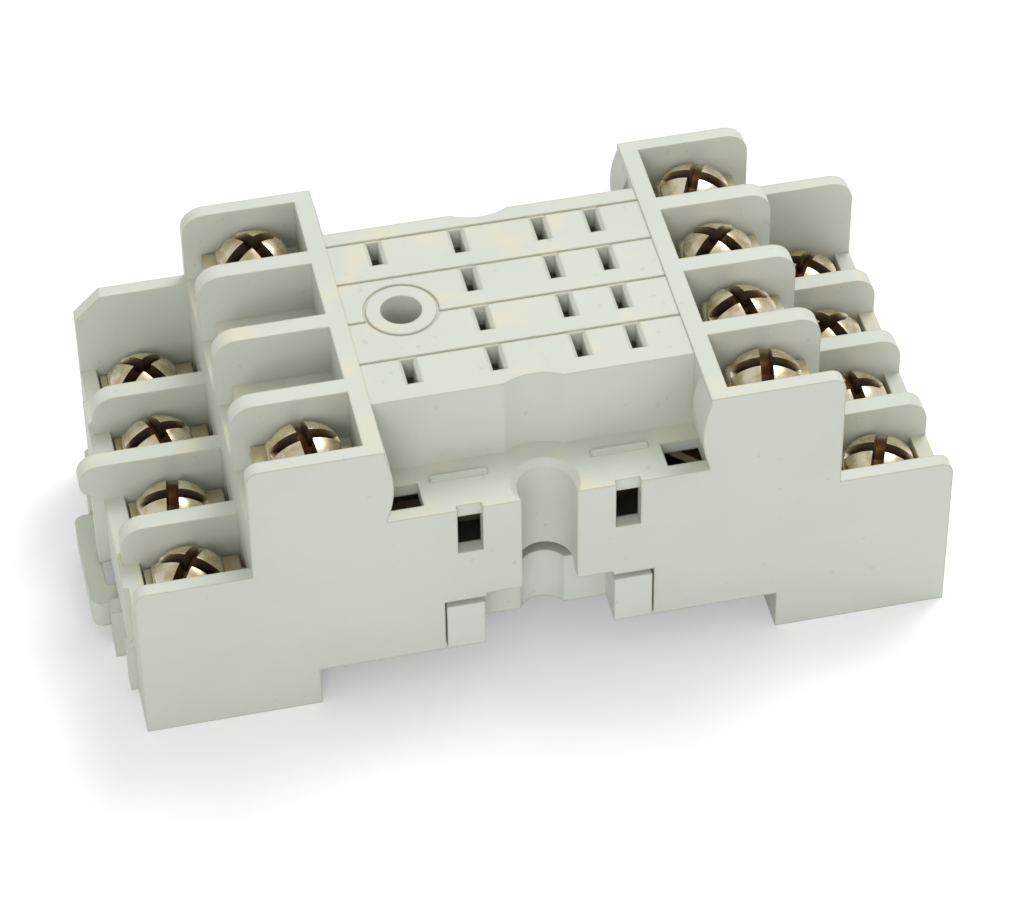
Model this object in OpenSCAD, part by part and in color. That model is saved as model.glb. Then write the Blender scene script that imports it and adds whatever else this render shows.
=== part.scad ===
// Screw-terminal socket for a 14-blade plug-in relay, for a 35 mm rail or two panel screws.
// X runs from end to end, Y along the rail and Z up from the face that rests on the rail.

/* [Body] */
// Width along the rail
body_w = 29.4; // [28.4:0.1:34]
// Depth of the feet below the rail seat
foot_h = 3.6; // [3.2:0.1:6]
// Gap between the feet, a little over the width of the rail
foot_gap = 35.2; // [34.6:0.1:36.4]
// Thickness of the front and rear walls
side_t = 1.1; // [0.9:0.1:1.4]
// Thickness of the partitions between terminals
rib_t = 1.45; // [1:0.05:1.8]
// Thickness of the walls between the relay seat and the terminals
seat_wall_t = 1.4; // [1:0.1:1.8]
// Thickness of the end walls, the decks and the inner walls
wall_t = 1.2; // [1:0.1:1.4]
// Radius of the free corners of the partitions
corner_r = 1.8; // [0.8:0.1:2.4]
// Radius of the free corners of the front wall
front_corner_r = 1; // [0.5:0.1:1.8]

/* [Tiers] */
// Length of a lower tier
tier1_l = 8.75; // [8.4:0.05:9.4]
// Length of an upper tier with its seat wall
tier2_l = 10.1; // [9.8:0.1:10.8]
// Height of the lower tier's walls
tier1_h = 10.9; // [10.5:0.1:12]
// Extra height of the rear wall at the lower tiers
rear_wall_extra = 3.9; // [1:0.1:4.1]
// Height of the upper tier's walls
tier2_h = 21.4; // [21.2:0.1:23]
// Height of the lower tier's floor
tier1_floor = 6.1; // [5.9:0.1:6.4]
// Height of the upper tier's floor
tier2_floor = 16.9; // [16.6:0.1:17.1]
// Height of the end walls that wires are led over
end_lip_h = 7.4; // [6.8:0.1:8]
// Height of the step that wires are led over on the upper tier
step_h = 15.2; // [14.8:0.1:16]
// Width of that step
step_w = 1.2; // [0.8:0.1:1.4]

/* [Relay seat] */
// Length of the relay seat between the two ends' walls
seat_l = 24.1; // [23.6:0.1:30]
// Height of the relay seat
seat_h = 21.3; // [20.8:0.1:21.4]
// Width of the seat block across the rows
seat_w = 19; // [18.6:0.1:19.6]
// Thickness of the seat's deck
deck_t = 2; // [1.5:0.1:2.3]
// Height of the ledges in front of the seat and behind it
ledge_h = 14.35; // [14:0.05:14.8]
// Place of the four blade columns along the socket
blade_x = [-8.55, -2.2, 4.15, 8.25]; // [-8.8:0.05:8.6]
// Spacing of the four blade rows
row_pitch = 4.4; // [4.2:0.05:4.5]
// Width of a blade slot
slot_w = 0.8; // [0.7:0.05:1]
// Length of a blade slot
slot_l = 2.7; // [2.55:0.05:2.9]
// Depth of the slot's sloping lead-in
lead_in = 0.3; // [0.1:0.05:0.4]
// Diameter of the keying hole
key_d = 3.1; // [2.8:0.1:3.4]
// Depth of the keying hole
key_deep = 6; // [4:0.1:7]
// Place of the keying hole along the socket
key_x = -7.9; // [-8:0.1:-7.7]
// Depth of the fine grooves between the blade rows
groove_deep = 0.15; // [0.1:0.05:0.3]

/* [Panel screws] */
// Width of the two notches for the panel screws
notch_w = 4.2; // [4.1:0.1:4.6]
// Distance from the housing's face to the centre of a notch
notch_in = 1.5; // [1.3:0.1:1.8]
// Radius of the room for a screw head and driver
driver_r = 4.3; // [4:0.1:4.5]

/* [Clip features] */
// Width of the square holes in the front and rear faces
clip_hole_w = 1.9; // [1.5:0.1:2.1]
// Lowest point of those holes
clip_hole_z = 9.95; // [9.6:0.05:10.4]
// Height of those holes
clip_hole_h = 3.3; // [2.8:0.1:3.6]
// Distance of those holes from the middle
clip_hole_x = 5.95; // [5.7:0.05:6.3]
// Depth of the groove above each hole
clip_groove = 0.5; // [0.3:0.05:0.8]
// Length of the openings at the ends of the ledges
ledge_hole_l = 2.9; // [2.4:0.1:3]
// Width of those openings
ledge_hole_w = 2.4; // [2:0.1:2.5]
// Swell of the detents on the seat walls
detent = 0.55; // [0.3:0.05:0.7]

/* [Terminals] */
// Distance from the socket's end to a lower screw
screw1_in = 4.55; // [4.3:0.05:4.8]
// Distance from the tier's edge to an upper screw
screw2_in = 4.95; // [4.8:0.05:5.1]
// Thickness of the terminal strips
strip_t = 0.8; // [0.6:0.05:0.9]
// Width of a terminal's screw plate
plate_w = 5.2; // [4.8:0.1:5.3]
// Width of the strip inside the housing
strip_w = 2.4; // [2:0.1:2.6]
// Height of the hidden strips of the upper terminals
inner_strip_z = 10.6; // [10.2:0.1:10.8]
// Thickness of the fork's leaves
leaf_t = 0.4; // [0.3:0.05:0.5]
// Thickness of a relay blade
blade_t = 0.5; // [0.4:0.05:0.6]
// Outer width of a fork
fork_w = 2.6; // [2.4:0.1:2.8]

/* [Screws and washers] */
// Diameter of the screw's shank
shank_d = 2.9; // [2.7:0.1:3.1]
// Length of the shank under the head
shank_l = 5.6; // [5.2:0.1:5.9]
// Diameter of the screw's head
head_d = 5.2; // [4.8:0.1:5.4]
// Height of the screw's head
head_h = 2.1; // [1.8:0.1:2.2]
// Width of the driver slots in the head
driver_slot = 0.85; // [0.6:0.05:1]
// Running clearance of the shank in its plate and washer
shank_gap = 0.05; // [0.03:0.01:0.08]
// Length of the square clamp washer
washer_l = 5.4; // [5:0.1:5.6]
// Width of the clamp washer
washer_w = 5; // [4.6:0.1:5.2]
// Thickness of the clamp washer
washer_t = 0.9; // [0.7:0.05:1]

/* [Base plate] */
// Height of the base plate's rim
base_h = 4.9; // [4.6:0.1:5]
// Setback of the base plate from the housing's faces
base_in = 2.8; // [2.6:0.1:3]
// Thickness of the base plate's floor
base_t = 1.5; // [1.2:0.1:2]
// Width of the snap tabs
tab_w = 2.9; // [2.4:0.1:3]
// Height of the snap tabs
tab_h = 4.4; // [4:0.1:4.5]
// Distance of a snap tab's outer edge from the middle
tab_x = 7.85; // [7.6:0.05:8.2]
// Height of the cut-out in the faces above the base plate
cutout_h = 5.3; // [5.1:0.1:5.6]

/* [Rail latch] */
// Width of the latch's pull tab
pull_w = 9.7; // [9:0.1:10]
// Length that the pull tab sticks out
pull_out = 2.4; // [2:0.1:3]
// Thickness of the latch's plate
latch_t = 2.4; // [2:0.1:2.5]
// Height of the latch's upper face
latch_z = 0.6; // [0.4:0.05:0.7]
// Overlap of the latch and the hooks under the rail
hook_in = 1.4; // [1:0.1:1.8]
// Room for the rail's lip between the seat and the hooks
lip_room = 1.15; // [1.05:0.05:1.4]
// Thickness of the hooks and of the latch's nose
hook_t = 1.9; // [1.5:0.1:1.9]
// Length of the screwdriver slot in the pull tab
pull_slot_l = 5.9; // [5:0.1:6.4]
// Travel of the latch
latch_travel = 2; // [1.8:0.1:2.4]
// Sliding clearance round the latch
slide_gap = 0.2; // [0.1:0.05:0.25]

/* [Hidden] */
TERMINAL_COUNT = 14;
$fn = 48;

plastic = [0.80, 0.80, 0.75];
plastic_light = [0.84, 0.84, 0.80];
nickel = [0.75, 0.71, 0.63];
brass = [0.80, 0.68, 0.42];

// Cuts run this far past the faces that they open.
past = 1;
// Clearance between moulded pieces that don't move.
fit_gap = 0.1;

// Places along the socket, from the middle outwards.
seat_x = seat_l / 2;
seat_wall_x = seat_x + seat_wall_t;
step_x = seat_x + tier2_l;
end_x = step_x + tier1_l;
foot_x = foot_gap / 2;
plate_edge_x = step_x - step_w;

// Places across the socket.
face_y = body_w / 2;
side_y = face_y - side_t;
seat_y = seat_w / 2;
lane_w = (body_w - 2 * side_t - 3 * rib_t) / 4;
lane_pitch = lane_w + rib_t;
notch_y = face_y - notch_in;

// Heights.
floor_t = wall_t + 0.3;
deck_z = seat_h - deck_t;
ledge_under = ledge_h - side_t;
boss_z = latch_z + slide_gap;
hook_z = -lip_room - hook_t;
fork_z = inner_strip_z + 1.9;
fork_top = deck_z - 0.2;
pinch_z = seat_h - 4.2;

// The latch's arms and nose, and the guide walls that it slides between.
guide_y = pull_w / 2 + slide_gap;
guide_z = latch_z - latch_t - slide_gap;
nose_w = pull_w - 1.7;
bulge_r = 0.55;
bulge_y = pull_w / 2 - 0.4;
bulge_x = 4.4 - end_x;

// Radius of the ridges that the base plate snaps in with.
ridge_r = 0.45;

// Each terminal: its end of the socket, its tier, its lane from the rear and its blade column.
TERMINALS = concat(
    [for (lane = [0:3]) [1, 2, lane, 3]],
    [for (lane = [0:3]) [1, 1, lane, 2]],
    [for (lane = [0:3]) [-1, 1, lane, 1]],
    [for (lane = [0, 3]) [-1, 2, lane, 0]]
);
BLADES = [for (t = TERMINALS) [blade_x[t[3]], row_y(t[2])]];

function lane_y(lane) = (1.5 - lane) * lane_pitch;
function row_y(row) = (1.5 - row) * row_pitch;
function floor_z(tier) = tier == 1 ? tier1_floor : tier2_floor;
function screw_x(tier) = tier == 1 ? end_x - screw1_in : step_x - screw2_in;

// A drawing of X and Z, given thickness t across the socket and centred at y.
module across(y, t) {
    translate([0, y + t / 2, 0])
        rotate([90, 0, 0])
            linear_extrude(t)
                children();
}

// A box between two opposite corners.
module box(low, high) {
    translate(low)
        cube(high - low);
}

module both_ends() {
    children();
    mirror([1, 0, 0])
        children();
}

module both_faces() {
    children();
    mirror([0, 1, 0])
        children();
}

module at_end(end) {
    if (end > 0)
        children();
    else
        mirror([1, 0, 0])
            children();
}

// What a rounded corner of radius r leaves out, with the sharp corner at x and z.
module corner_cut(x, z, r) {
    translate([x - r, z - r])
        difference() {
            square(r + past);
            circle(r);
        }
}

// Right half of the outline of a wall or partition, seen from the front.
module tier_outline(middle_h, low_h) {
    polygon([
        [0, 0], [foot_x, 0], [foot_x, -foot_h], [end_x, -foot_h],
        [end_x, low_h], [step_x, low_h], [step_x, tier2_h],
        [seat_x, tier2_h], [seat_x, middle_h], [0, middle_h]
    ]);
}

module rounded_tiers(middle_h, low_h, low_r, high_r) {
    difference() {
        tier_outline(middle_h, low_h);
        corner_cut(end_x, low_h, low_r);
        corner_cut(step_x, tier2_h, high_r);
    }
}

// Stepped floors, end walls and seat walls, solid for now over the whole width.
module floors() {
    both_ends()
        across(0, body_w)
            polygon([
                [0, 0], [foot_x, 0], [foot_x, -foot_h], [end_x, -foot_h],
                [end_x, end_lip_h], [end_x - wall_t, end_lip_h],
                [end_x - wall_t, tier1_floor], [step_x, tier1_floor],
                [step_x, step_h], [plate_edge_x, step_h],
                [plate_edge_x, tier2_floor], [seat_wall_x, tier2_floor],
                [seat_wall_x, tier2_h], [seat_x, tier2_h],
                [seat_x, ledge_h], [0, ledge_h]
            ]);
}

module partitions() {
    for (k = [-1:1])
        both_ends()
            across(k * lane_pitch, rib_t)
                rounded_tiers(ledge_h, tier1_h, corner_r, corner_r);
}

// The front wall, and the rear wall that stands higher at the lower tiers.
module face_walls() {
    both_ends()
        across(side_t / 2 - face_y, side_t)
            rounded_tiers(ledge_h, tier1_h, front_corner_r, front_corner_r);
    rear_h = tier1_h + rear_wall_extra;
    across(face_y - side_t / 2, side_t) {
        rounded_tiers(ledge_h, rear_h, corner_r, corner_r);
        mirror([1, 0])
            difference() {
                tier_outline(ledge_h, rear_h);
                corner_cut(step_x, tier2_h, corner_r);
                translate([end_x, rear_h])
                    rotate(45)
                        square(corner_r * 1.6, center = true);
            }
    }
}

// Block that the relay stands on, with a finger of room for each panel screw's driver.
module seat_block() {
    difference() {
        box([-seat_x, -seat_y, ledge_h - side_t], [seat_x, seat_y, seat_h]);
        both_faces()
            translate([0, notch_y, ledge_h])
                cylinder(r = driver_r, h = seat_h);
    }
}

// Rounded end of the middle partition, which stands out over the latch's pull tab.
module finger_stop() {
    nose_r = 1.6;
    nose_out = 0.5;
    neck_out = 1.2;
    nose_low = tier1_h - 2 * nose_r;
    across(0, rib_t) {
        translate([-end_x - nose_out, tier1_h - nose_r])
            circle(nose_r);
        translate([-end_x - nose_out, nose_low])
            square([nose_out + corner_r, 2 * nose_r]);
        translate([-end_x - neck_out, boss_z])
            square([neck_out + wall_t, nose_low - boss_z + nose_out]);
    }
}

// Thicker part of the latch end's wall, with a small stub below it on each side.
module end_pad() {
    pad_y = 10.3;
    pad_out = 0.35;
    stub_out = 0.6;
    stub_w = 1.4;
    box([-end_x - pad_out, -pad_y, boss_z], [0.1 - end_x, pad_y, end_lip_h]);
    both_faces()
        across(pad_y, stub_w)
            polygon([
                [0.1 - end_x, boss_z - foot_h], [-end_x - stub_out, boss_z - foot_h],
                [-end_x - stub_out, boss_z + stub_out], [0.1 - end_x, boss_z + 2 * stub_out]
            ]);
}

// Guide walls on both sides of the latch, with lips under its edges.
module latch_guides() {
    guide_t = 1.55;
    guide_out = 1.1;
    lip_in = 0.8;
    lip_t = 0.6;
    lip_l = 7.7;
    both_faces() {
        box([-end_x - guide_out, guide_y, -foot_h], [-foot_x, guide_y + guide_t, boss_z + 0.4]);
        box([wall_t - end_x, guide_y, -foot_h], [-foot_x, guide_y + guide_t, tier1_floor - floor_t]);
        box([-end_x, guide_y - lip_in, guide_z - lip_t], [lip_l - end_x, guide_y + 0.1, guide_z]);
    }
}

// Shallow pockets in the guide walls that the bulges of the latch's arms rest and slide in.
module arm_pockets() {
    pocket_deep = 0.35;
    around = bulge_r + slide_gap;
    both_faces()
        box([bulge_x - around - latch_travel, 0, guide_z],
            [bulge_x + around, guide_y + pocket_deep, boss_z]);
}

// Blind bosses under the floors, for the ends of the terminal screws.
module screw_bosses() {
    boss_r = shank_d / 2 + 1.25;
    for (lane = [0:3])
        both_ends() {
            translate([screw_x(1), lane_y(lane), boss_z])
                cylinder(r = boss_r, h = tier1_floor - boss_z);
            translate([screw_x(2), lane_y(lane), tip_z(2) - 0.8])
                cylinder(r = boss_r, h = tier2_floor - tip_z(2) + 0.8);
        }
}

function head_z(tier) = floor_z(tier) + strip_t + washer_t;
function tip_z(tier) = head_z(tier) - shank_l;

module screw_holes() {
    for (lane = [0:3])
        both_ends()
            for (tier = [1, 2])
                translate([screw_x(tier), lane_y(lane), tip_z(tier) - 0.3])
                    cylinder(d = shank_d + 0.8, h = shank_l + past);
}

// Room inside the housing for the strips and the fork contacts.
module contact_room() {
    room_floor = tier2_floor - floor_t;
    both_ends()
        across(0, 2 * side_y)
            polygon([
                [-past, -past], [foot_x, -past], [foot_x, tier1_floor],
                [step_x - wall_t, tier1_floor], [step_x - wall_t, step_h - wall_t],
                [plate_edge_x - wall_t, step_h - wall_t],
                [plate_edge_x - wall_t, room_floor], [seat_wall_x, room_floor],
                [seat_wall_x, ledge_under], [-past, ledge_under]
            ]);
    box([-seat_x, wall_t - seat_y, ledge_under - past], [seat_x, seat_y - wall_t, deck_z]);
}

// Walls and bosses that stand in that room.
module room_fittings() {
    row_wall_t = 0.8;
    for (k = [-1:1])
        across(k * row_pitch, row_wall_t)
            translate([1 - seat_x, tier1_floor + strip_t + 0.3])
                square([2 * seat_x - 2, deck_z - tier1_floor - strip_t - 0.2]);
    translate([key_x, 0, seat_h - key_deep - wall_t])
        cylinder(d = key_d + 2 * wall_t, h = key_deep);
    both_faces()
        intersection() {
            translate([0, notch_y, cutout_h + 0.7])
                cylinder(d = notch_w + 2 * wall_t, h = ledge_h - cutout_h - 0.8);
            box([-notch_w, 0, 0], [notch_w, face_y, ledge_h]);
        }
}

// Room inside the feet, open below.
module foot_rooms() {
    both_ends()
        box([foot_x + wall_t, -side_y, -foot_h - past],
            [end_x - wall_t, side_y, tier1_floor - floor_t]);
}

// Ribs that carry on the partitions under the lower floors.
module foot_ribs() {
    rib_end = end_x - wall_t + 0.1;
    ceiling = tier1_floor - floor_t + 0.1;
    both_ends()
        box([foot_x, -wall_t / 2, boss_z], [rib_end, wall_t / 2, ceiling]);
    for (k = [-1, 1])
        across(k * lane_pitch, wall_t)
            translate([foot_x, 0.5 - foot_h])
                square([rib_end - foot_x, ceiling + foot_h - 0.5]);
}

module latch_openings() {
    nose_y = nose_w / 2 + slide_gap;
    box([-end_x - past, -guide_y, -foot_h - past], [wall_t - end_x, guide_y, boss_z]);
    box([-foot_x - wall_t - past, -nose_y, -foot_h - past],
        [past - foot_x, nose_y, slide_gap - lip_room]);
}

// Two fixed hooks that the rail's edge goes behind.
module rail_hooks() {
    hook_w = 6;
    for (k = [-1, 1])
        across(k * lane_pitch, hook_w)
            polygon([
                [foot_x + 0.5, -lip_room], [foot_x - hook_in, -lip_room],
                [foot_x - hook_in, hook_z + 0.9], [foot_x - hook_in + 0.9, hook_z],
                [foot_x + 0.5, hook_z]
            ]);
}

// Openings that the strips pass through on their way inside.
module strip_windows() {
    neck = plate_w - 1.6;
    for (lane = [0:3])
        both_ends() {
            box([step_x - wall_t - past, lane_y(lane) - neck / 2, tier1_floor],
                [step_x + past, lane_y(lane) + neck / 2, tier1_floor + 2.2]);
            box([seat_wall_x, lane_y(lane) - neck / 2, tier2_floor - floor_t - past],
                [seat_wall_x + strip_t + 0.3, lane_y(lane) + neck / 2, tier2_floor + past]);
        }
}

// Blade slots with sloping lead-ins on both long sides.
module blade_slots() {
    for (b = BLADES)
        translate([b[0], b[1], 0]) {
            box([-slot_w / 2, -slot_l / 2, deck_z - past], [slot_w / 2, slot_l / 2, seat_h + past]);
            across(0, slot_l)
                translate([0, seat_h])
                    polygon([
                        [-slot_w / 2 - lead_in, 0.01], [slot_w / 2 + lead_in, 0.01],
                        [slot_w / 2, -lead_in], [-slot_w / 2, -lead_in]
                    ]);
        }
}

// Fine grooves along the rows, and the ring round the keying hole.
module seat_grooves() {
    groove_w = 0.2;
    ring_r = key_d / 2 + 1.1;
    difference() {
        for (row = [0:3])
            box([-seat_x, row_y(row) + slot_l / 2, seat_h - groove_deep],
                [seat_x, row_y(row) + slot_l / 2 + groove_w, seat_h + past]);
        translate([key_x, 0, deck_z])
            cylinder(r = ring_r, h = deck_t + 2 * past);
    }
    translate([key_x, 0, seat_h - groove_deep])
        difference() {
            cylinder(r = ring_r + groove_w, h = past);
            cylinder(r = ring_r, h = past);
        }
}

module keying_hole() {
    translate([key_x, 0, seat_h - key_deep])
        cylinder(d = key_d, h = key_deep + past);
}

// Notches for the two panel screws, with a bevelled rim.
module panel_notches() {
    bevel = 0.5;
    both_faces()
        translate([0, notch_y, -past]) {
            cylinder(d = notch_w, h = ledge_h + 2 * past);
            box([-notch_w / 2, 0, 0], [notch_w / 2, face_y, ledge_h + 2 * past]);
            translate([0, 0, ledge_h + past - bevel])
                cylinder(d1 = notch_w, d2 = notch_w + 2 * bevel, h = bevel);
        }
}

// Square clip holes with their grooves, ledge openings and the cut-outs above the base plate.
module face_cuts() {
    hole_top = clip_hole_z + clip_hole_h;
    middle_x = tab_x - tab_w - fit_gap;
    both_faces()
        both_ends() {
            box([clip_hole_x - clip_hole_w / 2, side_y - past, clip_hole_z],
                [clip_hole_x + clip_hole_w / 2, face_y + past, hole_top]);
            box([clip_hole_x - clip_hole_w / 2, face_y - clip_groove, hole_top - past],
                [clip_hole_x + clip_hole_w / 2, face_y + past, ledge_h + past]);
            box([seat_x - ledge_hole_l, side_y - ledge_hole_w, ledge_under - past],
                [seat_x, side_y, ledge_h + past]);
            box([-past, side_y - past, -past], [middle_x, face_y + past, cutout_h]);
            box([middle_x - past, side_y - past, -past],
                [tab_x + 0.15, face_y + past, tab_h + 0.55]);
        }
}

// Long low ridges on the ledges, and the swellings that a retaining clip snaps over.
module ledge_details() {
    ridge_x = 3.9;
    detent_low = ledge_h + 0.3;
    detent_high = tier2_h - 0.6;
    half = (detent_high - detent_low) / 2;
    swell_r = (half * half + detent * detent) / (2 * detent);
    both_faces()
        both_ends() {
            box([ridge_x, side_y - 2.7, ledge_h - 0.1], [ridge_x + 4.3, side_y - 2.2, ledge_h + 0.25]);
            intersection() {
                translate([seat_x + swell_r - detent, face_y, detent_low + half])
                    rotate([90, 0, 0])
                        cylinder(r = swell_r, h = 3.4, $fn = 96);
                box([seat_x - detent - past, seat_y, detent_low], [seat_x + 0.5, face_y, detent_high]);
            }
        }
}

// Four rods near the base plate's ends: its snap ridges, or their grooves in the feet.
module snap_ridges(r) {
    ridge_y = 4;
    ridge_l = 8;
    both_faces()
        both_ends()
            translate([foot_x - 2 * fit_gap, ridge_y + ridge_l, base_h - base_t])
                rotate([90, 0, 0])
                    cylinder(r = r, h = ridge_l, $fn = 32);
}

module housing() {
    color(plastic)
        difference() {
            union() {
                difference() {
                    union() {
                        floors();
                        face_walls();
                        partitions();
                        seat_block();
                    }
                    contact_room();
                    foot_rooms();
                }
                end_pad();
                finger_stop();
                latch_guides();
                foot_ribs();
                screw_bosses();
                room_fittings();
                rail_hooks();
                ledge_details();
            }
            arm_pockets();
            latch_openings();
            screw_holes();
            strip_windows();
            blade_slots();
            seat_grooves();
            keying_hole();
            panel_notches();
            face_cuts();
            snap_ridges(ridge_r + fit_gap);
        }
}

// Bottom cover: a shallow tray that snaps in between the feet and holds the strips up.
module base_plate() {
    half_l = foot_x - fit_gap;
    half_w = side_y - fit_gap;
    middle_y = face_y - base_in;
    corner_x = tab_x + 0.15 + fit_gap;
    notch_r = notch_w / 2 - 0.2;
    screw_y = notch_y - 0.4;
    rib_y = middle_y - 2;
    rib_places = [-seat_wall_x - wall_t / 2, blade_x[1], blade_x[2], seat_wall_x + wall_t / 2];
    color(plastic_light)
        difference() {
            union() {
                box([-half_l, -middle_y, 0], [half_l, middle_y, base_h]);
                both_ends()
                    box([corner_x, -half_w, 0], [half_l, half_w, base_h]);
                both_faces()
                    both_ends()
                        box([tab_x - tab_w, middle_y - wall_t, 0], [tab_x, face_y, tab_h]);
                for (x = rib_places)
                    box([x - wall_t / 2, -rib_y, 0], [x + wall_t / 2, rib_y, tier1_floor - fit_gap]);
                snap_ridges(ridge_r);
            }
            difference() {
                union() {
                    box([wall_t - half_l, wall_t - middle_y, base_t],
                        [half_l - wall_t, middle_y - wall_t, base_h + past]);
                    both_ends()
                        box([corner_x + wall_t, wall_t - half_w, base_t],
                            [half_l - wall_t, half_w - wall_t, base_h + past]);
                }
                for (x = rib_places)
                    box([x - wall_t / 2, -middle_y, 0], [x + wall_t / 2, middle_y, tier1_floor + past]);
                both_faces()
                    translate([0, screw_y, 0])
                        cylinder(r = notch_r + wall_t, h = base_h + past);
            }
            both_faces()
                translate([0, screw_y, -past]) {
                    cylinder(r = notch_r, h = base_h + 2 * past);
                    box([-notch_r, 0, 0], [notch_r, face_y, base_h + 2 * past]);
                }
        }
}

// Sliding rail latch, moulded in one piece with its pull tab, nose and two sprung arms.
module din_latch() {
    half_w = pull_w / 2;
    low_z = latch_z - latch_t;
    tab_end = -end_x - pull_out;
    plate_end = 2.3 - end_x;
    inner_x = -foot_x - wall_t - slide_gap;
    crossbar_x = inner_x - 3.5;
    crossbar_z = low_z + 0.5;
    nose_x = inner_x - 1.6;
    nose_tip = hook_in - foot_x;
    tip_bevel = 0.9;
    arm_t = 0.8;
    arm_y = bulge_y - 0.35;
    arm_low = low_z + slide_gap;
    tab_corner = 0.8;
    color(plastic)
        difference() {
            union() {
                box([tab_end, -half_w, low_z], [plate_end, half_w, latch_z]);
                box([plate_end - 0.1, -half_w / 2, low_z], [crossbar_x + 0.1, half_w / 2, latch_z]);
                box([crossbar_x, -half_w, low_z], [inner_x, half_w, latch_z]);
                across(0, nose_w)
                    polygon([
                        [nose_x, crossbar_z], [inner_x, crossbar_z], [inner_x, -lip_room],
                        [nose_tip, -lip_room], [nose_tip, hook_z + tip_bevel],
                        [nose_tip - tip_bevel, hook_z], [nose_x, hook_z]
                    ]);
                both_faces() {
                    box([bulge_x, arm_y - arm_t / 2, arm_low],
                        [crossbar_x + 0.1, arm_y + arm_t / 2, latch_z - slide_gap]);
                    translate([bulge_x, bulge_y, arm_low])
                        cylinder(r = bulge_r, h = latch_t - 2 * slide_gap);
                }
            }
            box([-end_x - 1, -pull_slot_l / 2, low_z - past],
                [0.5 - end_x, pull_slot_l / 2, latch_z + past]);
            both_faces()
                translate([tab_end, half_w, low_z - past])
                    linear_extrude(latch_t + 2 * past)
                        mirror([1, 0])
                            corner_cut(0, 0, tab_corner);
        }
}

// Outline of a strip from a lane at x_lane to a blade row, ending under the fork at x_fork.
module strip_run(x_start, x_lane, x_row, x_fork, y_lane, y_row) {
    h = strip_w / 2;
    polygon([
        [x_start, y_lane - h], [x_lane, y_lane - h], [x_row, y_row - h], [x_fork, y_row - h],
        [x_fork, y_row + h], [x_row, y_row + h], [x_lane, y_lane + h], [x_start, y_lane + h]
    ]);
}

// One leaf of the fork: up from the base, in to the pinch and out to the mouth.
module fork_leaf() {
    base_r = fork_w / 2 - leaf_t;
    pinch = blade_t / 2 - 0.1;
    mouth = slot_w / 2 + 0.3;
    polygon([
        [0, 0], [base_r + leaf_t, 0], [base_r + leaf_t, 1.4],
        [pinch + leaf_t, pinch_z - fork_z], [mouth + leaf_t, fork_top - fork_z],
        [mouth, fork_top - fork_z], [pinch, pinch_z - fork_z],
        [base_r, 1.4], [base_r, leaf_t], [0, leaf_t]
    ]);
}

module terminal(n) {
    t = TERMINALS[n - 1];
    tier = t[1];
    y = lane_y(t[2]);
    row = row_y(t[2]);
    fork_x = abs(blade_x[t[3]]);
    run_z = tier == 1 ? tier1_floor : inner_strip_z;
    plate_in = tier == 1 ? step_x + 0.15 : seat_wall_x + 0.15;
    plate_out = tier == 1 ? end_x - wall_t - 0.2 : plate_edge_x - 0.1;
    color(brass)
        at_end(t[0]) {
            difference() {
                box([plate_in, y - plate_w / 2, floor_z(tier)],
                    [plate_out, y + plate_w / 2, floor_z(tier) + strip_t]);
                translate([screw_x(tier), y, floor_z(tier) - past])
                    cylinder(r = shank_d / 2 + shank_gap, h = strip_t + 2 * past);
                if (tier == 2)
                    both_neck_cuts(plate_in, y);
            }
            translate([0, 0, run_z])
                linear_extrude(strip_t)
                    strip_run(plate_in + strip_t / 2, tier == 1 ? foot_x - 0.6 : plate_in,
                              tier == 1 ? seat_x : fork_x + fork_w / 2, fork_x - 0.4, y, row);
            if (tier == 2)
                box([plate_in, y - strip_w / 2, run_z],
                    [plate_in + strip_t, y + strip_w / 2, floor_z(tier) + strip_t]);
            box([fork_x - 0.4, row - strip_w / 2, run_z], [fork_x + 0.4, row + strip_w / 2, fork_z + 0.1]);
            across(row, strip_w)
                translate([fork_x, fork_z]) {
                    fork_leaf();
                    mirror([1, 0])
                        fork_leaf();
                }
        }
}

// The upper plate narrows to the strip where it bends down behind the seat wall.
module both_neck_cuts(plate_in, y) {
    for (k = [-1, 1])
        translate([plate_in + strip_t / 2, y + k * (strip_w + plate_w) / 4 + k * 0.4, floor_z(2)])
            cube([strip_t + 0.9, (plate_w - strip_w) / 2 + 0.8, 4 * strip_t], center = true);
}

module washer(n) {
    t = TERMINALS[n - 1];
    tier = t[1];
    color(nickel)
        at_end(t[0])
            translate([screw_x(tier), lane_y(t[2]), floor_z(tier) + strip_t])
                linear_extrude(washer_t)
                    difference() {
                        square([washer_l, washer_w], center = true);
                        circle(r = shank_d / 2 + shank_gap);
                        for (k = [0:3])
                            rotate(90 * k)
                                corner_cut(k % 2 == 0 ? washer_l / 2 : washer_w / 2,
                                           k % 2 == 0 ? washer_w / 2 : washer_l / 2, 0.6);
                    }
}

// Screw with a domed head and a combination cross and slot drive that notches the rim.
module screw(n) {
    t = TERMINALS[n - 1];
    tier = t[1];
    rim_h = 0.9;
    dome_h = head_h - rim_h;
    head_r = head_d / 2;
    dome_r = (head_r * head_r + dome_h * dome_h) / (2 * dome_h);
    slot_z = rim_h - 0.15;
    turned = (n * 37) % 90;
    color(nickel)
        at_end(t[0])
            translate([screw_x(tier), lane_y(t[2]), head_z(tier)])
                rotate([0, 0, turned])
                    difference() {
                        union() {
                            translate([0, 0, -shank_l])
                                cylinder(d = shank_d, h = shank_l + 0.1);
                            intersection() {
                                cylinder(r = head_r, h = head_h + past);
                                translate([0, 0, head_h - dome_r])
                                    sphere(dome_r);
                            }
                        }
                        for (k = [0, 90])
                            rotate([0, 0, k])
                                translate([-head_r - past, -driver_slot / 2, slot_z])
                                    cube([head_d + 2 * past, driver_slot, head_h]);
                        translate([0, 0, slot_z - 0.4])
                            cylinder(r1 = driver_slot * 0.6, r2 = driver_slot, h = 0.5);
                    }
}

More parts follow.
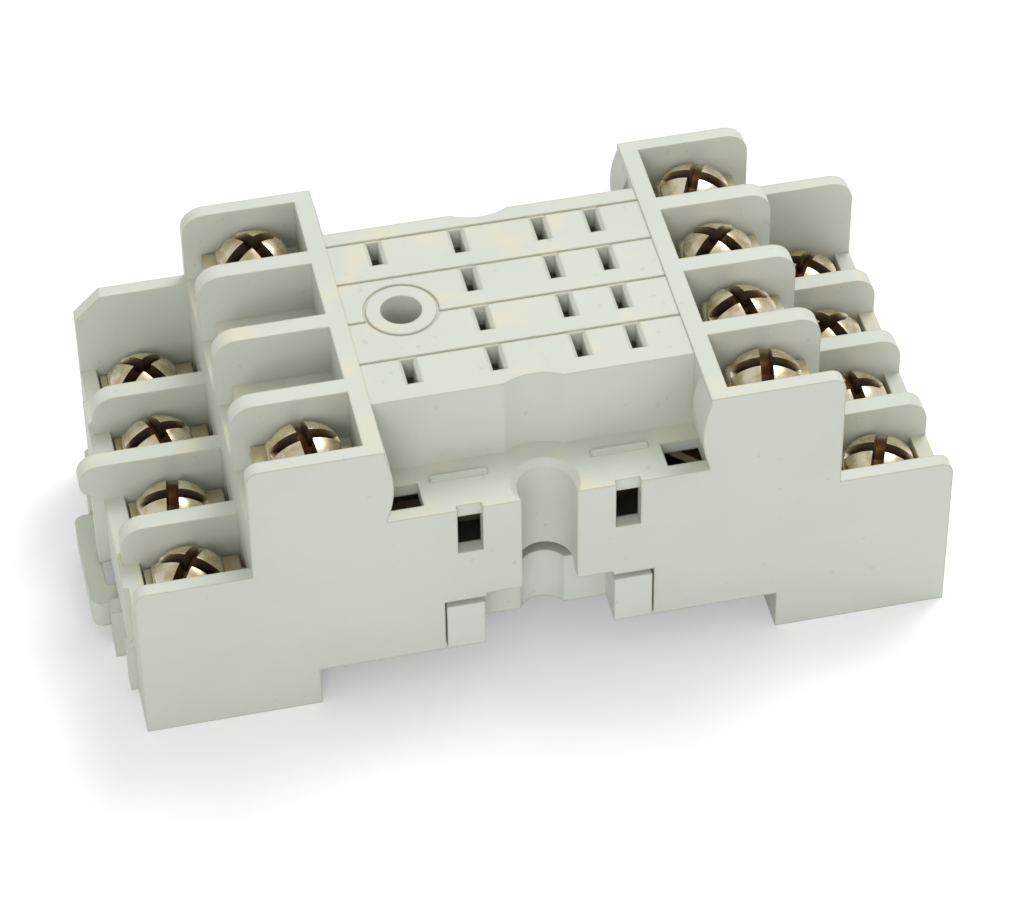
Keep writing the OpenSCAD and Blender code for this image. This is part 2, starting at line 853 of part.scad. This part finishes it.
housing();
base_plate();
din_latch();
for (n = [1:TERMINAL_COUNT]) terminal(n);
for (n = [1:TERMINAL_COUNT]) washer(n);
for (n = [1:TERMINAL_COUNT]) screw(n);
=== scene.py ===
import math

import bpy
import numpy as np
from mathutils import Matrix, Vector


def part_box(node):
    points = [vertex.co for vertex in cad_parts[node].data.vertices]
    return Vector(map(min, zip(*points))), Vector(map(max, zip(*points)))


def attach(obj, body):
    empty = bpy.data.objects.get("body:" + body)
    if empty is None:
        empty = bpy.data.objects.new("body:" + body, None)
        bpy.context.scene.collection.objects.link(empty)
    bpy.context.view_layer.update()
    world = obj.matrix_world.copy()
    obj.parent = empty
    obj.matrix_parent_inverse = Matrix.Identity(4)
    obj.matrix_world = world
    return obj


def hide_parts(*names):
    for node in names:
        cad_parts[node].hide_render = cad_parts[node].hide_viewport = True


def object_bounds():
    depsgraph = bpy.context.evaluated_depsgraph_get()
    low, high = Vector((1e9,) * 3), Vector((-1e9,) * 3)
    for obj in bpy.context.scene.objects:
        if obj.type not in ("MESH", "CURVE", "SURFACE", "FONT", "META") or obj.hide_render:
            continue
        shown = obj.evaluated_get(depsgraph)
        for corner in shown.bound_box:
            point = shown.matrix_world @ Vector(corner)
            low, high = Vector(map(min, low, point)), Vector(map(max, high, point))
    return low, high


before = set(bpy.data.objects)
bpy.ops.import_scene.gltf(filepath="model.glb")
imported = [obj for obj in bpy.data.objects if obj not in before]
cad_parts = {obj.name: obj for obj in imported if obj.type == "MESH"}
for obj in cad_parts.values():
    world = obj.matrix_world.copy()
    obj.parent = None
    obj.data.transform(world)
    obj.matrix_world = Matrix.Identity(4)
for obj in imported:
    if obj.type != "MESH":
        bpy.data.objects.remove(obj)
cad_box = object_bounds()

# --- Housing --------------------------------------------------------------------------------
# The tiered body: one moulding of light grey, slightly greenish plastic. Its edges and patches on its
# tops are tinted a light cream, partly for the plastic's yellowing and partly as painted highlight
# from light above.
# It comes out of the mould with a satin skin and soft corners.


class Value:
    """A number or a vector inside a finish. + - * and / on numbers add Math nodes."""

    def __init__(self, finish, socket):
        self.finish = finish
        self.socket = socket

    def _math(self, operation, first, second):
        return self.finish.node("ShaderNodeMath", {"operation": operation}, {0: first, 1: second})

    def __add__(self, other):
        return self._math("ADD", self, other)

    def __sub__(self, other):
        return self._math("SUBTRACT", self, other)

    def __mul__(self, other):
        return self._math("MULTIPLY", self, other)

    def __truediv__(self, other):
        return self._math("DIVIDE", self, other)

    def __rsub__(self, other):
        return self._math("SUBTRACT", other, self)

    def __rtruediv__(self, other):
        return self._math("DIVIDE", other, self)

    __radd__ = __add__
    __rmul__ = __mul__


class Finish:
    """A material made of nodes, whose patterns lie on the piece's own place in millimetres."""

    def __init__(self, name):
        self.material = bpy.data.materials.new(name)
        self.material.use_nodes = True
        self.tree = self.material.node_tree
        self.skin = self.tree.nodes["Principled BSDF"]
        place = self.node("ShaderNodeTexCoord", out="Object")
        self.place = self.node("ShaderNodeVectorMath", {"operation": "SCALE"},
                               {0: place, "Scale": 1000.0})

    def node(self, kind, settings=None, sockets=None, out=0):
        """Adds a node, makes its settings first and then feeds its sockets."""
        made = self.tree.nodes.new(kind)
        for name, setting in (settings or {}).items():
            setattr(made, name, setting)
        for name, value in (sockets or {}).items():
            self.feed(made.inputs[name], value)
        return Value(self, made.outputs[out])

    def feed(self, socket, value):
        """Links a Value to a socket, or sets the socket to a plain number or colour."""
        if isinstance(value, Value):
            self.tree.links.new(value.socket, socket)
        else:
            socket.default_value = value

    def noise(self, scale, detail=2.0, stretch=(1.0, 1.0, 1.0)):
        """Cloudy pattern from 0 to 1, with scale in waves for each millimetre."""
        where = self.node("ShaderNodeMapping", sockets={"Vector": self.place, "Scale": stretch})
        return self.node("ShaderNodeTexNoise", sockets={"Vector": where, "Scale": scale,
                                                        "Detail": detail})

    def ramp(self, value, low, high):
        """0 below low and 1 above high, with a smooth rise between them."""
        return self.node("ShaderNodeMapRange", {"interpolation_type": "SMOOTHSTEP"},
                         {"Value": value, "From Min": low, "From Max": high})

    def tint(self, amount, first, second):
        """first where amount is 0 and second where it is 1, for two colours."""
        return self.node("ShaderNodeMix", {"data_type": "RGBA"}, {0: amount, 6: first, 7: second},
                         out=2)

    def edges(self, radius):
        """The normal rounded over radius metres, and a mask of the edges that it rounds."""
        soft = self.node("ShaderNodeBevel", {"samples": 4}, {"Radius": radius})
        sharp = self.node("ShaderNodeNewGeometry", out="True Normal")
        along = self.node("ShaderNodeVectorMath", {"operation": "DOT_PRODUCT"},
                          {0: soft, 1: sharp}, out="Value")
        return soft, self.ramp(1.0 - along, 0.01, 0.2)

    def put(self, **sockets):
        """Feeds the skin's own sockets."""
        for name, value in sockets.items():
            self.feed(self.skin.inputs[name.replace("_", " ")], value)


def colour(red, green, blue):
    """Linear colour of the 0 to 255 values that a screen shows."""
    shown = np.array([red, green, blue]) / 255.0
    linear = np.where(shown <= 0.04045, shown / 12.92, ((shown + 0.055) / 1.055) ** 2.4)
    return (*linear.tolist(), 1.0)


# Rounding of the moulded edges, and height of the skin's grain, in metres.
MOULD_EDGE_R = 0.00022
GRAIN_H = 0.00002
SPECK = colour(150, 145, 118)


def moulded_plastic(name, tone, shade, aged_highlight_colour, cream_highlight_amount):
    """Satin plastic: cloudy tone, light cream edges and patches on top that are partly yellowing and
    partly painted highlight, and a fine grain.
    """
    finish = Finish(name)
    soft, edge = finish.edges(MOULD_EDGE_R)
    cloud = finish.ramp(finish.noise(0.11, 3.0), 0.3, 0.7)
    streak = finish.noise(0.35, 2.0, stretch=(0.25, 0.25, 1.6))
    up = finish.node("ShaderNodeSeparateXYZ",
                     sockets={0: finish.node("ShaderNodeNewGeometry", out="True Normal")}, out="Z")
    patch = finish.ramp(finish.noise(0.22, 4.0), 0.5, 0.72)
    # Painted highlight, partly yellowing: edges and patches of up-facing faces turn a light cream.
    cream_and_highlight = finish.ramp(up, 0.6, 0.95) * patch * 0.5 + edge * 0.75
    body = finish.tint(cloud * 0.6 + streak * 0.4, shade, tone)
    body = finish.tint(finish.node("ShaderNodeClamp", sockets={0: cream_and_highlight * cream_highlight_amount}), body, aged_highlight_colour)
    speck = finish.ramp(finish.noise(1.3, 1.0), 0.72, 0.78)
    body = finish.tint(speck * 0.18, body, SPECK)
    grain = finish.noise(7.0, 3.0)
    wave = finish.noise(0.4, 2.0)
    bump = finish.node("ShaderNodeBump", sockets={
        "Strength": 0.35, "Distance": GRAIN_H, "Height": grain * 0.35 + wave, "Normal": soft})
    finish.put(Base_Color=body, Roughness=0.4 + 0.14 * grain + 0.06 * cloud, Normal=bump)
    return finish.material


def give(node, material):
    """Puts a material on the slots of a CAD node."""
    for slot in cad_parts[node].material_slots:
        slot.material = material


give("housing", moulded_plastic("housing_plastic", colour(210, 213, 203), colour(202, 207, 195),
                                colour(222, 215, 180), 1.0))

# --- Base plate -----------------------------------------------------------------------------
# The bottom cover, moulded in a slightly whiter plastic than the housing. Its four tabs show
# in the housing's faces, where it snaps in from below.

give("base_plate", moulded_plastic("base_plastic", colour(216, 219, 211), colour(208, 213, 203),
                                   colour(220, 216, 188), 0.6))

# --- Rail latch -----------------------------------------------------------------------------
# The sliding latch that grips the rail, moulded in one piece with its arms, nose and pull tab.
# It slides in from the end. It is the same plastic as the housing, given a slightly darker, greener
# tone and less cream as painted shade, because it lies in the shade.

give("din_latch", moulded_plastic("latch_plastic", colour(206, 211, 198), colour(198, 205, 190),
                                  colour(216, 211, 180), 0.7))

# --- Terminal strips ------------------------------------------------------------------------
# Brass strips, punched and bent, with a screw plate at one end and a fork contact at the other.
# They are thinly tinned, lie on the housing's floors and pass inside through its walls.


STRIP_EDGE_R = 0.0001
ROLLING_LINE_H = 0.00001


def strip_metal():
    """Tinned brass: brass shows through in clouds, with fine rolling lines along the strip."""
    finish = Finish("strip_brass")
    soft, edge = finish.edges(STRIP_EDGE_R)
    cloud = finish.ramp(finish.noise(0.5, 4.0), 0.35, 0.75)
    lines = finish.noise(1.0, 2.0, stretch=(0.6, 14.0, 14.0))
    body = finish.tint(cloud * 0.7 + edge * 0.3, colour(214, 206, 180), colour(196, 168, 112))
    bump = finish.node("ShaderNodeBump", sockets={
        "Strength": 0.3, "Distance": ROLLING_LINE_H, "Height": lines, "Normal": soft})
    finish.put(Base_Color=body, Metallic=1.0, Roughness=0.28 + 0.2 * lines, Normal=bump)
    return finish.material


TERMINALS = range(1, 15)
strip_brass = strip_metal()
for number in TERMINALS:
    give(f"terminal_{number}", strip_brass)

# --- Clamp washers --------------------------------------------------------------------------
# Square steel washers, punched, dished a little at the edges and nickel plated. Each is held
# under its screw's head, and clamps the wire's end on the terminal's plate.


def nickel(name, light, dark, painted_shade_colour):
    """Bright plating with brown stains in clouds, and painted shade: dark brown and rougher where the
    piece's shade value says.
    """
    finish = Finish(name)
    cloud = finish.ramp(finish.noise(0.9, 4.0), 0.35, 0.7)
    # Painted shade: where the piece's shade value is high, the plating turns dark brown and rougher.
    shade_amount = finish.node("ShaderNodeAttribute", {"attribute_name": "shade"}, out="Fac")
    body = finish.tint(cloud, light, dark)
    body = finish.tint(shade_amount, body, painted_shade_colour)
    grain = finish.noise(9.0, 3.0)
    bump = finish.node("ShaderNodeBump", sockets={
        "Strength": 0.25, "Distance": GRAIN_H, "Height": grain})
    finish.put(Base_Color=body, Metallic=1.0, Roughness=0.2 + 0.14 * grain + 0.22 * shade_amount,
               Normal=bump)
    return finish.material


# Corners sharper than this angle in degrees stay crisp.
CRISP_ANGLE = 38


def make_piece(name, points, faces, shade, material, body, node):
    """A closed surface in metres from points in millimetres, smooth except at its corners."""
    mesh = bpy.data.meshes.new(name)
    mesh.from_pydata((points / 1000.0).tolist(), [], faces)
    mesh.polygons.foreach_set("use_smooth", np.ones(len(faces), bool))
    mesh.set_sharp_from_angle(angle=math.radians(CRISP_ANGLE))
    mesh.attributes.new("shade", "FLOAT", "POINT").data.foreach_set("value", shade)
    mesh.materials.append(material)
    mesh.update()
    piece = bpy.data.objects.new(name, mesh)
    bpy.context.scene.collection.objects.link(piece)
    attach(piece, body)
    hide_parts(node)
    return piece


def quads(rows, columns, ring):
    """Corner numbers of a grid that closes round its columns, and round its rows for a ring."""
    row, column = np.meshgrid(np.arange(rows if ring else rows - 1), np.arange(columns),
                              indexing="ij")
    after, beside = (row + 1) % rows, (column + 1) % columns
    corners = np.stack([row * columns + column, after * columns + column,
                        after * columns + beside, row * columns + beside], axis=-1)
    return corners.reshape(-1, 4)


# Washer profile from the hole outwards over the top and back below: how far out, how high.
WASHER_OUT = np.array([0, 0, .04, .2, .4, .6, .8, .9, .96, 1, 1, .97, .9, .5, .06])
WASHER_UP = np.array([.08, .9, .98, 1, 1, .99, .96, .92, .85, .72, .12, .02, 0, 0, 0])
HOLE_R = 1.5
CORNER_POWER = 7
ROUND_STEPS = 96


def washer_points(middle, low, high, half_l, half_w):
    """Rings between the hole and a rounded square, 1 / ((cos/a)^n + (sin/b)^n)^(1/n)."""
    turn = np.linspace(0, 2 * np.pi, ROUND_STEPS, endpoint=False)
    power = CORNER_POWER
    rim = ((np.abs(np.cos(turn)) / half_l) ** power
           + (np.abs(np.sin(turn)) / half_w) ** power) ** (-1 / power)
    radius = HOLE_R + WASHER_OUT[:, None] * (rim - HOLE_R)
    height = low + WASHER_UP[:, None] * (high - low) * np.ones_like(turn)
    return np.stack([middle[0] + radius * np.cos(turn), middle[1] + radius * np.sin(turn),
                     height], axis=-1).reshape(-1, 3)


washer_nickel = nickel("washer_nickel", colour(226, 218, 196), colour(196, 182, 150),
                       colour(96, 76, 52))
for number in TERMINALS:
    low, high = (np.array(corner) * 1000 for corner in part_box(f"washer_{number}"))
    half = (high - low) / 2
    points = washer_points((low + high) / 2, low[2], high[2], half[0], half[1])
    faces = quads(len(WASHER_OUT), ROUND_STEPS, True)[:, ::-1]
    make_piece(f"clamp_washer_{number}", points, faces.tolist(), np.zeros(len(points)),
               washer_nickel, f"clamp_{number}", f"washer_{number}")

# --- Terminal screws ------------------------------------------------------------------------
# M3 screws with a domed head, turned and rolled from steel and nickel plated. Two crossed slots
# notch the rim of each head and meet in a deeper middle, and the shank has a rolled thread.

HEAD_R = 2.6
HEAD_H = 2.1
RIM_H = 0.9
SHANK_R = 1.45
PITCH = 0.5
THREAD_DEEP = 0.3
SLOT_TOP = 0.95
SLOT_LOW = 0.7
SLOT_FLOOR = 0.72
MIDDLE_DEEP = 0.45
THREAD_STEPS = 6
RUN_OUT = 0.5
LAND_COLUMNS = 9
# Turn in radians from each screw to the next, because no two were driven to the same angle.
TURN_EACH = 1.13


def slot_columns(radius):
    """Angle of each column at each radius. Columns keep to the walls of two crossed slots,
    asin(half width / radius), so the walls stay straight from the middle to the rim."""
    low = np.arcsin(np.minimum(SLOT_LOW / 2 / radius, np.sqrt(0.5)))
    top = np.arcsin(np.minimum(SLOT_TOP / 2 / radius, np.sqrt(0.5)))
    land = top + np.linspace(0, 1, LAND_COLUMNS) * (np.pi / 2 - 2 * top)
    quarter = np.concatenate([0 * low, 0.5 * low, low, land, np.pi / 2 - low,
                              np.pi / 2 - 0.5 * low], axis=1)
    on_land = np.array([False] * 3 + [True] * LAND_COLUMNS + [False] * 2)
    quarters = [quarter + k * np.pi / 2 for k in range(4)]
    return np.concatenate(quarters, axis=1), np.tile(on_land, 4)


def screw_rings(shank_l):
    """Rings of the screw from the head's middle to the tip, about its own axis and with z up
    from the head's underside. The head is a sphere's cap cut by the slots. The shank's radius
    is a triangle wave of z / pitch - angle / 360, which is a right-hand thread."""
    dome_h = HEAD_H - RIM_H
    dome_r = (HEAD_R ** 2 + dome_h ** 2) / (2 * dome_h)
    inner = SLOT_LOW / np.sqrt(2)
    outer = SLOT_TOP / np.sqrt(2)
    top_r = np.concatenate([[0.2, 0.38, inner], np.linspace(outer, 2.45, 7), [2.53, 2.58]])
    top_z = HEAD_H - dome_r + np.sqrt(dome_r ** 2 - top_r ** 2) - 0.03 * (top_r > 2.5)
    side_r = np.array([2.6, 2.6, 2.57, 2.45])
    side_z = np.array([0.8, 0.1, 0.03, 0.0])
    radius = np.concatenate([top_r, side_r])[:, None]
    level = np.concatenate([top_z, side_z])[:, None]
    angle, on_land = slot_columns(radius)
    floor = SLOT_FLOOR - MIDDLE_DEEP * np.clip(1.4 - radius, 0, 1) ** 2
    cut = np.minimum(level, floor)
    raised = on_land[None, :] & (radius > inner + 1e-6)
    height = np.where(raised, level, cut)
    head = np.stack([radius * np.cos(angle), radius * np.sin(angle), height], axis=-1)
    # Painted shade: the deeper a point lies in a slot, the darker it is painted.
    shade_amount = np.where(raised, 0.0, np.clip((level - cut) * 1.5, 0, 1))

    columns = angle.shape[1]
    even = np.arange(columns) * 2 * np.pi / columns
    shank_z = -np.arange(0.02, shank_l, PITCH / THREAD_STEPS)[:, None]
    wave = shank_z / PITCH - even / (2 * np.pi)
    crest = np.clip(1.25 * np.abs(2 * (wave % 1.0) - 1) - 0.05, 0, 1)
    taper = np.clip((shank_l + shank_z) / RUN_OUT, 0, 1)
    shank_r = SHANK_R - THREAD_DEEP * (1 - crest * taper)
    shank = np.stack([shank_r * np.cos(even), shank_r * np.sin(even),
                      shank_z * np.ones_like(even)], axis=-1)
    # The shank gets an even painted shade of 0.35.
    return np.concatenate([head, shank]), np.concatenate([shade_amount, 0.35 + 0 * shank_r])


def screw_mesh(shank_l, turned):
    """Points, faces and shade of one screw: its rings, closed with a point at each end."""
    rings, shade_amount = screw_rings(shank_l)
    rows, columns = shade_amount.shape
    middle = [0, 0, SLOT_FLOOR - MIDDLE_DEEP]
    tip = [0, 0, -shank_l]
    points = np.concatenate([[middle], rings.reshape(-1, 3), [tip]])
    spin = np.array(Matrix.Rotation(turned, 3, "Z"))
    each = np.arange(columns)
    last = rows * columns
    cap = np.stack([0 * each, 1 + each, 1 + (each + 1) % columns], axis=1)
    foot = np.stack([0 * each + last + 1, last - columns + 1 + (each + 1) % columns,
                     last - columns + 1 + each], axis=1)
    faces = cap.tolist() + (1 + quads(rows, columns, False)).tolist() + foot.tolist()
    # Painted shade is full at the slots' middle and half at the tip.
    return points @ spin.T, faces, np.concatenate([[1.0], shade_amount.ravel(), [0.5]])


screw_nickel = nickel("screw_nickel", colour(236, 226, 202), colour(200, 180, 142),
                      colour(74, 52, 30))
for number in TERMINALS:
    low, high = (np.array(corner) * 1000 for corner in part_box(f"screw_{number}"))
    shank_l = high[2] - low[2] - HEAD_H
    points, faces, shade = screw_mesh(shank_l, number * TURN_EACH)
    place = np.array([(low[0] + high[0]) / 2, (low[1] + high[1]) / 2, high[2] - HEAD_H])
    make_piece(f"terminal_screw_{number}", points + place, faces, shade, screw_nickel,
               f"screw_{number}", f"screw_{number}")

# --- Floor, light and camera ----------------------------------------------------------------
# A plain white table with a soft shadow, a bright sky, one soft lamp above and behind on the
# right, and a weaker one in front. The camera looks down on the front from a little to the left.

FLOOR_Z = cad_box[0].z
FLOOR_HALF = 3
corners = [(FLOOR_HALF * x, FLOOR_HALF * y, FLOOR_Z) for x, y in [(-1, -1), (1, -1), (1, 1), (-1, 1)]]
floor_mesh = bpy.data.meshes.new("floor")
floor_mesh.from_pydata(corners, [], [(0, 1, 2, 3)])
floor = bpy.data.objects.new("floor", floor_mesh)
bpy.context.scene.collection.objects.link(floor)
table = Finish("table_white")
paths = table.node("ShaderNodeLightPath", out="Is Camera Ray")
table.put(Base_Color=(0.85, 0.85, 0.86, 1.0), Roughness=0.9, Emission_Color=(1.0, 1.0, 1.0, 1.0))
table.feed(table.skin.inputs["Specular IOR Level"], 0.0)
table.feed(table.skin.inputs["Emission Strength"], paths * 0.2)
floor_mesh.materials.append(table.material)

world = bpy.data.worlds.new("studio")
bpy.context.scene.world = world
world.use_nodes = True
sky = world.node_tree.nodes["Background"]
sky.inputs["Color"].default_value = (1.0, 1.0, 1.0, 1.0)
sky.inputs["Strength"].default_value = 0.66


def lamp(name, place, target, size, power):
    """A square soft lamp that faces the target."""
    light = bpy.data.lights.new(name, "AREA")
    light.shape = "SQUARE"
    light.size = size
    light.energy = power
    holder = bpy.data.objects.new(name, light)
    holder.location = place
    holder.rotation_euler = (Vector(target) - Vector(place)).to_track_quat("-Z", "Y").to_euler()
    bpy.context.scene.collection.objects.link(holder)


lamp("key", (0.35, 0.3, 0.75), (0, 0, 0), 0.4, 3.6)
lamp("front", (-0.3, -0.9, 0.5), (0, 0, 0), 0.35, 2.2)

EYE = Vector((-0.048716, -0.231213, 0.235566))
TARGET = Vector((-0.00059, -0.00441, 0.00939))
ROLL = math.radians(-0.75)
camera = bpy.data.cameras.new("camera")
camera.sensor_width = 36.0
camera.lens = 151.0
camera.clip_start = 0.01
camera.clip_end = 20.0
viewer = bpy.data.objects.new("camera", camera)
look = (TARGET - EYE).to_track_quat("-Z", "Y").to_matrix()
viewer.matrix_world = (Matrix.Translation(EYE)
                       @ (look @ Matrix.Rotation(ROLL, 3, "Z")).to_4x4())
bpy.context.scene.collection.objects.link(viewer)
bpy.context.scene.camera = viewer
bpy.context.scene.view_settings.view_transform = "Standard"
